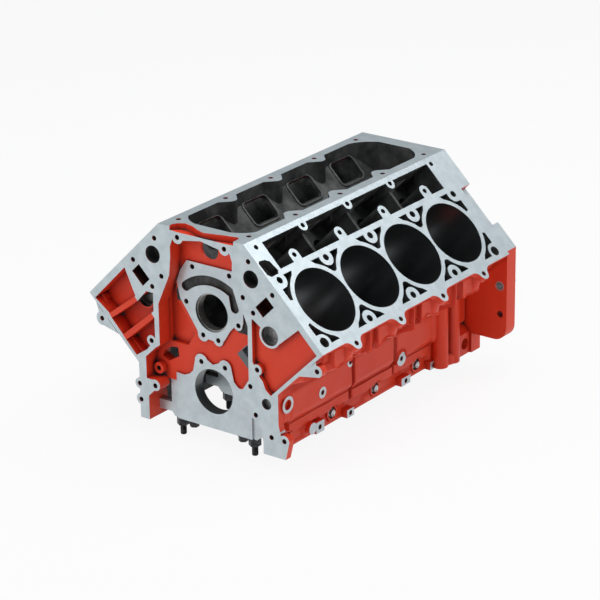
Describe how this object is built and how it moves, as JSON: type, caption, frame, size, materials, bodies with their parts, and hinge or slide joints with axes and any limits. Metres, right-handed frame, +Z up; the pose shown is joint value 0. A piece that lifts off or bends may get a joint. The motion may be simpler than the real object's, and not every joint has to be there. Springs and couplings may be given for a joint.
{
  "type": "engine block",
  "caption": "Bare V8 cylinder block of cast iron with cross-bolted main bearing caps, machined decks and an open timing chest.",
  "frame": {"origin": "on the crankshaft axis, in the middle of the front main bearing", "axes": "+Z up, +Y from the front of the engine to its rear, +X towards the left bank"},
  "size_m": [0.4556, 0.525, 0.3425],
  "materials": {
    "casting": "rough cast with machined faces",
    "cap_iron": "machined",
    "black_steel": "black oxide",
    "plated_steel": "satin",
    "bearing_metal": "satin",
    "plug_steel": "satin"
  },
  "bodies": {
    "root": {"block_casting": "casting", "main_cap_1": "cap_iron", "main_cap_2": "cap_iron", "main_cap_3": "cap_iron", "main_cap_4": "cap_iron", "main_cap_5": "cap_iron", "inner_cap_bolts": "black_steel", "outer_cap_studs": "black_steel", "outer_cap_nuts": "black_steel", "side_cap_bolts": "plated_steel", "cam_bearing_1": "bearing_metal", "cam_bearing_2": "bearing_metal", "cam_bearing_3": "bearing_metal", "cam_bearing_4": "bearing_metal", "cam_bearing_5": "bearing_metal", "front_oil_gallery_plug": "plug_steel", "rear_oil_gallery_plug": "plug_steel", "front_core_plugs": "plug_steel", "rear_core_plugs": "plug_steel", "bellhousing_dowels": "plated_steel"}
  },
  "joints": []
}
